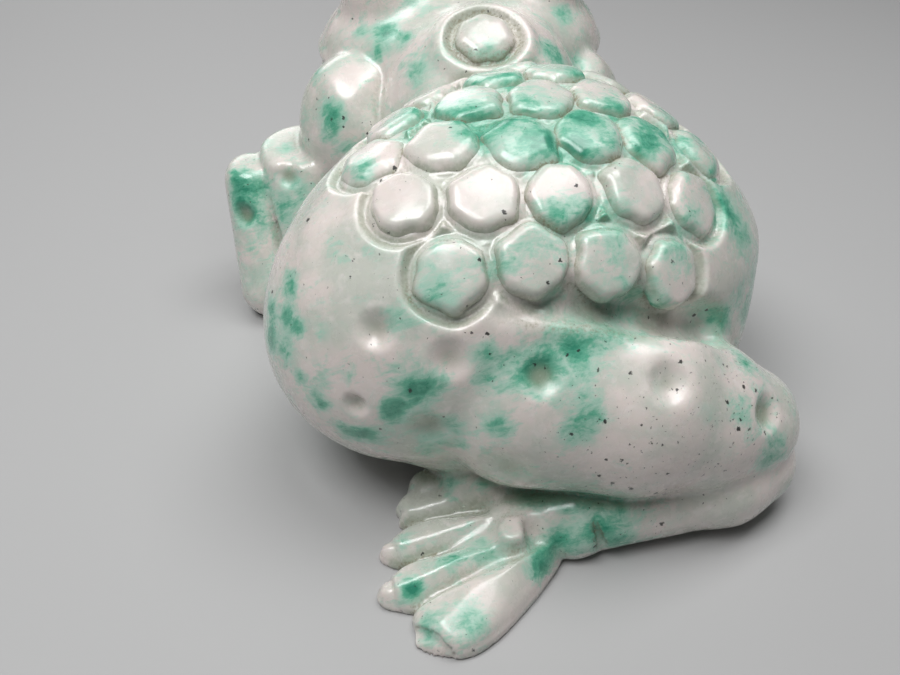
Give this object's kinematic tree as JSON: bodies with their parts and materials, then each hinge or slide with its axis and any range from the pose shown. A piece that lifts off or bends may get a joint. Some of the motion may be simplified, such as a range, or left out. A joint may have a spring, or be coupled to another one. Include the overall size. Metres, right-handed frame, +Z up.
{
  "type": "carved jade toad figurine",
  "caption": "Seated three-legged toad carved from mottled white and green jade, with a pebbled back and a flat underside to stand on.",
  "frame": {"origin": "centre of the bounding box in plan, on the plane the toad stands on", "axes": "+Z up, the toad faces -Y, its left side is +X"},
  "size_m": [0.1237, 0.1691, 0.084],
  "materials": {
    "body_jade": "polished, slightly translucent",
    "boss_jade": "polished, slightly translucent",
    "nape_jade": "polished, slightly translucent",
    "foreleg_jade": "polished, slightly translucent",
    "hind_leg_jade": "polished, slightly translucent",
    "head_jade": "polished, slightly translucent"
  },
  "bodies": {
    "root": {"back_boss_1a": "boss_jade", "back_boss_1b": "boss_jade", "back_boss_1c": "boss_jade", "back_boss_1d": "boss_jade", "back_boss_2a": "boss_jade", "back_boss_2b": "boss_jade", "back_boss_2c": "boss_jade", "back_boss_2d": "boss_jade", "back_boss_2e": "boss_jade", "back_boss_3a": "boss_jade", "back_boss_3b": "boss_jade", "back_boss_3c": "boss_jade", "back_boss_3d": "boss_jade", "back_boss_3e": "boss_jade", "back_boss_3f": "boss_jade", "back_boss_4a": "boss_jade", "back_boss_4b": "boss_jade", "back_boss_4c": "boss_jade", "back_boss_4d": "boss_jade", "back_boss_4e": "boss_jade", "back_boss_5a": "boss_jade", "back_boss_5b": "boss_jade", "back_boss_5c": "boss_jade", "back_boss_5d": "boss_jade", "back_boss_6a": "boss_jade", "back_boss_6b": "boss_jade", "back_boss_6c": "boss_jade", "chest": "body_jade", "head": "head_jade", "hind_ankle_knob": "hind_leg_jade", "hind_instep": "hind_leg_jade", "hind_shin": "hind_leg_jade", "hind_thigh": "hind_leg_jade", "hind_toe_1": "hind_leg_jade", "hind_toe_2": "hind_leg_jade", "hind_toe_3": "hind_leg_jade", "hind_toe_4": "hind_leg_jade", "left_eye": "head_jade", "left_forearm": "foreleg_jade", "left_hand": "foreleg_jade", "left_shoulder": "foreleg_jade", "left_upper_foreleg": "foreleg_jade", "lower_jaw": "head_jade", "nape": "nape_jade", "nape_bead": "nape_jade", "nape_ring": "nape_jade", "right_eye": "head_jade", "right_forearm": "foreleg_jade", "right_hand": "foreleg_jade", "right_shoulder": "foreleg_jade", "right_upper_foreleg": "foreleg_jade", "torso": "body_jade"}
  },
  "joints": []
}
